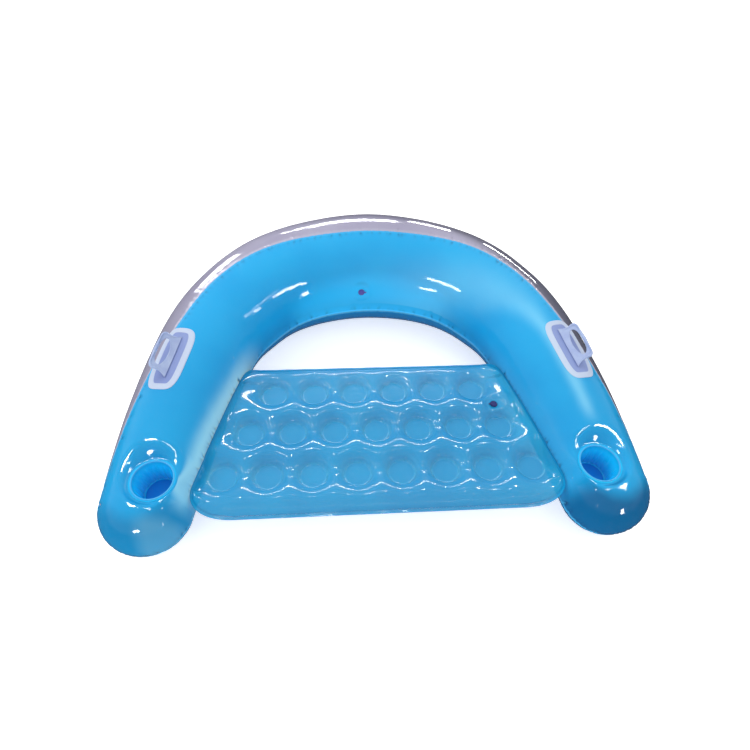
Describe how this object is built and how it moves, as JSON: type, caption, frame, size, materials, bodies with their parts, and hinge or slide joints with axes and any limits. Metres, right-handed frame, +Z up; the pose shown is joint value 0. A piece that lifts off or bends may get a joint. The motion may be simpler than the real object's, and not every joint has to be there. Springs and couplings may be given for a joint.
{
  "type": "inflatable pool chair",
  "caption": "Horseshoe air tube as backrest and arms, with a tufted air seat welded between them, cup holders in the arm ends, fold-down grab handles and air valves.",
  "frame": {"origin": "on the floor under the centre of the bounding box: z is 0 at the flat foot strip of the air tube", "axes": "+X across the chair, to the right of someone who looks at the open front; +Y from the open front to the backrest; +Z up"},
  "size_m": [1.518, 1.1926, 0.3718],
  "materials": {
    "blue_vinyl": "glossy translucent blue vinyl film",
    "pale_blue_vinyl": "glossy translucent pale blue vinyl film",
    "deep_blue_vinyl": "glossy blue vinyl sheet",
    "clear_vinyl": "glossy clear vinyl film",
    "milky_vinyl": "semi-gloss milky clear vinyl",
    "navy_vinyl": "semi-gloss navy moulded vinyl"
  },
  "bodies": {
    "chair": {"tube_top_sheet": "blue_vinyl", "tube_bottom_sheet": "clear_vinyl", "seat_top_sheet": "pale_blue_vinyl", "seat_bottom_sheet": "blue_vinyl", "left_cup_wall": "pale_blue_vinyl", "left_cup_base": "deep_blue_vinyl", "right_cup_wall": "pale_blue_vinyl", "right_cup_base": "deep_blue_vinyl", "left_handle_patch": "milky_vinyl", "right_handle_patch": "milky_vinyl", "tube_valve_flange": "navy_vinyl", "seat_valve_flange": "navy_vinyl"},
    "left_grip": {"left_handle_grip": "milky_vinyl"},
    "right_grip": {"right_handle_grip": "milky_vinyl"},
    "tube_stem": {"tube_valve_stem": "navy_vinyl"},
    "tube_plug": {"tube_valve_plug": "navy_vinyl"},
    "tube_flap": {"tube_valve_flap": "navy_vinyl"},
    "seat_stem": {"seat_valve_stem": "navy_vinyl"},
    "seat_plug": {"seat_valve_plug": "navy_vinyl"},
    "seat_flap": {"seat_valve_flap": "navy_vinyl"}
  },
  "joints": [
    {"name": "left_handle_fold", "type": "hinge", "parent": "chair", "child": "left_grip", "pos_m": [-0.58852, -0.08462, 0.29376], "axis": [-0.2155, -0.971, -0.1034], "range_deg": [-130, 48], "stiffness_Nm_per_rad": 0.5},
    {"name": "right_handle_fold", "type": "hinge", "parent": "chair", "child": "right_grip", "pos_m": [0.58852, -0.08462, 0.29376], "axis": [-0.2155, 0.971, 0.1034], "range_deg": [-130, 48], "stiffness_Nm_per_rad": 0.5},
    {"name": "tube_stem_slide", "type": "slide", "parent": "chair", "child": "tube_stem", "axis": [0.0142, -0.9643, 0.2646], "range_m": [0, 0.014]},
    {"name": "tube_plug_pull", "type": "slide", "parent": "tube_stem", "child": "tube_plug", "axis": [0.0142, -0.9643, 0.2646], "range_m": [0, 0.012]},
    {"name": "tube_flap_swing", "type": "hinge", "parent": "tube_stem", "child": "tube_flap", "pos_m": [-0.02726, 0.24676, 0.23422], "axis": [0.9999, 0.0147, 0], "range_deg": [0, 40], "stiffness_Nm_per_rad": 0.0004},
    {"name": "seat_stem_slide", "type": "slide", "parent": "chair", "child": "seat_stem", "axis": [0, 0, 1], "range_m": [0, 0.014]},
    {"name": "seat_plug_pull", "type": "slide", "parent": "seat_stem", "child": "seat_plug", "axis": [0, 0, 1], "range_m": [0, 0.012]},
    {"name": "seat_flap_swing", "type": "hinge", "parent": "seat_stem", "child": "seat_flap", "pos_m": [0.37135, -0.1796, 0.12535], "axis": [1, 0, 0], "range_deg": [0, 40], "stiffness_Nm_per_rad": 0.0004}
  ]
}
